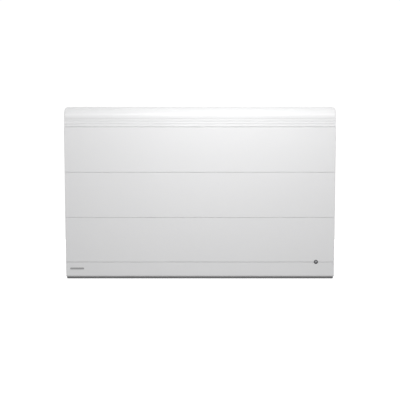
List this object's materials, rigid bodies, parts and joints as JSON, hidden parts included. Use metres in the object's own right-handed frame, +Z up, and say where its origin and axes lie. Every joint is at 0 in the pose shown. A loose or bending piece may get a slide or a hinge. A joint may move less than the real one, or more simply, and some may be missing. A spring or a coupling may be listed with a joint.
{
  "type": "wall panel heater",
  "caption": "Wide slim electric panel heater on a lift-off wall bracket: pressed front, slatted outlet under a rounded cap, hinged control flap, detector eye and inlet tray.",
  "frame": {"origin": "centre of the four wall fixings, in the wall plane", "axes": "+X to the viewer's right along the heater, +Y into the wall, +Z up; the heater's front faces -Y"},
  "size_m": [0.915, 0.131, 0.586],
  "materials": {
    "front_enamel": "satin white stove enamel",
    "cap_plastic": "glossy white moulding",
    "white_plastic": "satin white moulding",
    "rear_enamel": "satin white stove enamel",
    "dark_plastic": "fine-grained dark grey moulding",
    "badge_grey": "plain grey bar with no lettering",
    "rubber": "matt",
    "zinc_steel": "zinc-plated",
    "film": "amber laminate over printed tracks",
    "silicone": "matt silicone",
    "block_aluminium": "as cast",
    "rod_steel": "heat-darkened sheath",
    "ceramic": "glazed ceramic",
    "board_green": "solder mask",
    "component_black": "moulded components",
    "nylon": "natural nylon",
    "lead_red": "silicone-covered leads",
    "lens_grey": "smoked detector lens",
    "switch_black": "moulded switch",
    "bezel_grey": "fine-grained dark grey moulding",
    "window": "clear display window",
    "lcd": "display glass",
    "key_grey": null,
    "lock_red": "moulded lock lever"
  },
  "bodies": {
    "wall_bracket": {"bracket_rail_left": "zinc_steel", "bracket_rail_right": "zinc_steel", "bracket_crossbar_top": "zinc_steel", "bracket_crossbar_bottom": "zinc_steel"},
    "heater": {"front_panel": "front_enamel", "lower_fascia": "white_plastic", "outlet_grille": "white_plastic", "top_cap": "cap_plastic", "cheek_left": "white_plastic", "cheek_right": "white_plastic", "rear_panel": "rear_enamel", "inlet_tray": "dark_plastic", "blank_badge": "badge_grey", "wall_buffers": "rubber", "casing_screws": "zinc_steel", "chassis_upright_left": "zinc_steel", "chassis_upright_right": "zinc_steel", "chassis_crossbars": "zinc_steel", "electronics_partition": "zinc_steel", "panel_pads": "silicone", "chassis_screws": "zinc_steel", "heating_films": "film", "heating_block": "block_aluminium", "heating_rod": "rod_steel", "rod_terminals": "ceramic", "block_bushes": "ceramic", "air_deflector": "zinc_steel", "thermal_cutouts": "component_black", "power_board": "board_green", "board_standoffs": "nylon", "power_components": "component_black", "heat_sink": "block_aluminium", "terminal_block": "nylon", "earth_stud": "zinc_steel", "cable_gland": "dark_plastic", "internal_leads": "lead_red", "sensor_board": "board_green", "sensor_bezel": "bezel_grey", "sensor_lens": "lens_grey", "temperature_probe": "nylon", "switch_body": "switch_black", "control_housing": "white_plastic", "control_bezel": "bezel_grey", "display_window": "window", "lcd_module": "lcd", "control_board": "board_green", "tact_switches": "component_black", "ribbon_cable": "nylon", "lock_base": "dark_plastic"},
    "key_plus": {"key_plus": "key_grey"},
    "key_minus": {"key_minus": "key_grey"},
    "key_mode": {"key_mode": "key_grey"},
    "key_menu": {"key_menu": "key_grey"},
    "key_back": {"key_back": "key_grey"},
    "key_ok": {"key_ok": "key_grey"},
    "control_flap": {"control_flap": "cap_plastic", "flap_pin": "zinc_steel"},
    "rocker": {"rocker": "switch_black"},
    "lock_left": {"lock_left": "lock_red"},
    "lock_right": {"lock_right": "lock_red"}
  },
  "joints": [
    {"name": "lift_off", "type": "slide", "parent": "wall_bracket", "child": "heater", "axis": [0, -0.5, 0.866], "range_m": [0, 0.05]},
    {"name": "flap_hinge", "type": "hinge", "parent": "heater", "child": "control_flap", "pos_m": [0.3745, -0.0385, 0.2908], "axis": [-1, 0, 0], "range_deg": [0, 95]},
    {"name": "rocker_pivot", "type": "hinge", "parent": "heater", "child": "rocker", "pos_m": [0.451, -0.056, 0.167], "axis": [0, 1, 0], "range_deg": [0, 16]},
    {"name": "lock_left_turn", "type": "hinge", "parent": "heater", "child": "lock_left", "pos_m": [-0.12, -0.012, 0.2115], "axis": [0, -1, 0], "range_deg": [0, 90]},
    {"name": "lock_right_turn", "type": "hinge", "parent": "heater", "child": "lock_right", "pos_m": [0.12, -0.012, 0.2115], "axis": [0, 1, 0], "range_deg": [0, 90]},
    {"name": "key_plus_press", "type": "slide", "parent": "heater", "child": "key_plus", "axis": [0, 0, -1], "range_m": [0, 0.0008], "stiffness_N_per_m": 300, "springref_m": -0.001},
    {"name": "key_minus_press", "type": "slide", "parent": "heater", "child": "key_minus", "axis": [0, 0, -1], "range_m": [0, 0.0008], "stiffness_N_per_m": 300, "springref_m": -0.001},
    {"name": "key_mode_press", "type": "slide", "parent": "heater", "child": "key_mode", "axis": [0, 0, -1], "range_m": [0, 0.0008], "stiffness_N_per_m": 300, "springref_m": -0.001},
    {"name": "key_menu_press", "type": "slide", "parent": "heater", "child": "key_menu", "axis": [0, 0, -1], "range_m": [0, 0.0008], "stiffness_N_per_m": 300, "springref_m": -0.001},
    {"name": "key_back_press", "type": "slide", "parent": "heater", "child": "key_back", "axis": [0, 0, -1], "range_m": [0, 0.0008], "stiffness_N_per_m": 300, "springref_m": -0.001},
    {"name": "key_ok_press", "type": "slide", "parent": "heater", "child": "key_ok", "axis": [0, 0, -1], "range_m": [0, 0.0008], "stiffness_N_per_m": 300, "springref_m": -0.001}
  ]
}
